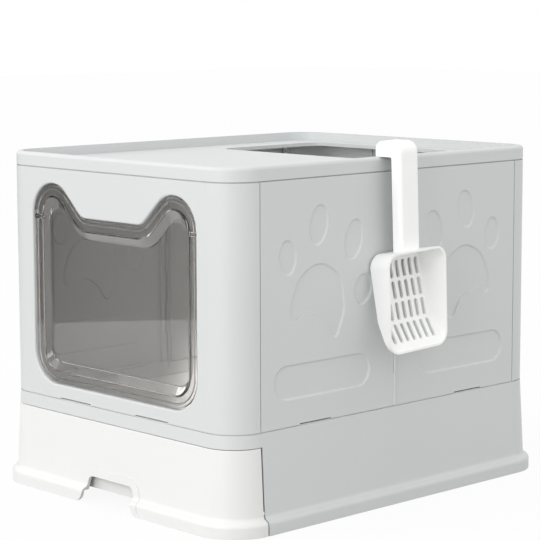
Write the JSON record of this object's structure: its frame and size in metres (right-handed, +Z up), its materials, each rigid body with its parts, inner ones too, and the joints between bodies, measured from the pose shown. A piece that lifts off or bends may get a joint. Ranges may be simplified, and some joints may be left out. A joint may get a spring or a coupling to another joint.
{
  "type": "drawer litter box",
  "caption": "Enclosed litter box with a pull-out drawer tray, swinging clear front door, top exit, folding side walls and a scoop hung on the lid.",
  "frame": {"origin": "on the floor under the centre of the enclosure, on the base's middle floor bar", "axes": "+Y from the door to the back, +X to the right side where the scoop hangs, +Z up"},
  "size_m": [0.4336, 0.5059, 0.3996],
  "materials": {
    "grey_moulding": "fine satin moulded polypropylene",
    "white_moulding": "satin moulded polypropylene",
    "clear_moulding": "polished smoky clear styrene",
    "steel_rod": "drawn wire"
  },
  "bodies": {
    "base": {"base_housing": "grey_moulding", "rear_frame": "grey_moulding", "rear_right_hinge_rod": "steel_rod", "rear_left_hinge_rod": "steel_rod"},
    "drawer": {"drawer": "white_moulding"},
    "right_rear": {"right_rear_panel": "grey_moulding", "right_mid_hinge_rod": "steel_rod"},
    "right_front": {"right_front_panel": "grey_moulding"},
    "front": {"front_frame": "grey_moulding", "front_right_hinge_rod": "steel_rod", "front_left_hinge_rod": "steel_rod"},
    "left_rear": {"left_rear_panel": "grey_moulding", "left_mid_hinge_rod": "steel_rod"},
    "left_front": {"left_front_panel": "grey_moulding"},
    "door": {"door_flap": "clear_moulding"},
    "lid": {"lid": "grey_moulding"},
    "scoop": {"scoop": "white_moulding"}
  },
  "joints": [
    {"name": "drawer_slide", "type": "slide", "parent": "base", "child": "drawer", "axis": [0, -1, 0], "range_m": [0, 0.4]},
    {"name": "right_rear_hinge", "type": "hinge", "parent": "base", "child": "right_rear", "pos_m": [0.186, 0.2015, 0.1074], "axis": [0, 0, -1], "range_deg": [0, 65]},
    {"name": "right_mid_hinge", "type": "hinge", "parent": "right_rear", "child": "right_front", "pos_m": [0.193, 0, 0.1074], "axis": [0, 0, 1], "range_deg": [0, 130]},
    {"name": "right_front_hinge", "type": "hinge", "parent": "right_front", "child": "front", "pos_m": [0.186, -0.2015, 0.1074], "axis": [0, 0, -1], "range_deg": [0, 65]},
    {"name": "left_rear_hinge", "type": "hinge", "parent": "base", "child": "left_rear", "pos_m": [-0.186, 0.2015, 0.1074], "axis": [0, 0, 1], "range_deg": [0, 65]},
    {"name": "left_mid_hinge", "type": "hinge", "parent": "left_rear", "child": "left_front", "pos_m": [-0.193, 0, 0.1074], "axis": [0, 0, -1], "range_deg": [0, 130]},
    {"name": "door_swing", "type": "hinge", "parent": "front", "child": "door", "pos_m": [0, -0.2348, 0.3103], "axis": [-1, 0, 0], "range_deg": [-80, 80]},
    {"name": "lid_lift", "type": "slide", "parent": "base", "child": "lid", "axis": [0, 0, 1], "range_m": [0, 0.12]},
    {"name": "scoop_lift", "type": "slide", "parent": "lid", "child": "scoop", "axis": [0, 0, 1], "range_m": [0, 0.06]}
  ],
  "couplings": [
    {"joint": "right_mid_hinge", "follows": "right_rear_hinge", "ratio": 2},
    {"joint": "right_front_hinge", "follows": "right_rear_hinge", "ratio": 1},
    {"joint": "left_rear_hinge", "follows": "right_rear_hinge", "ratio": 1},
    {"joint": "left_mid_hinge", "follows": "right_rear_hinge", "ratio": 2}
  ]
}
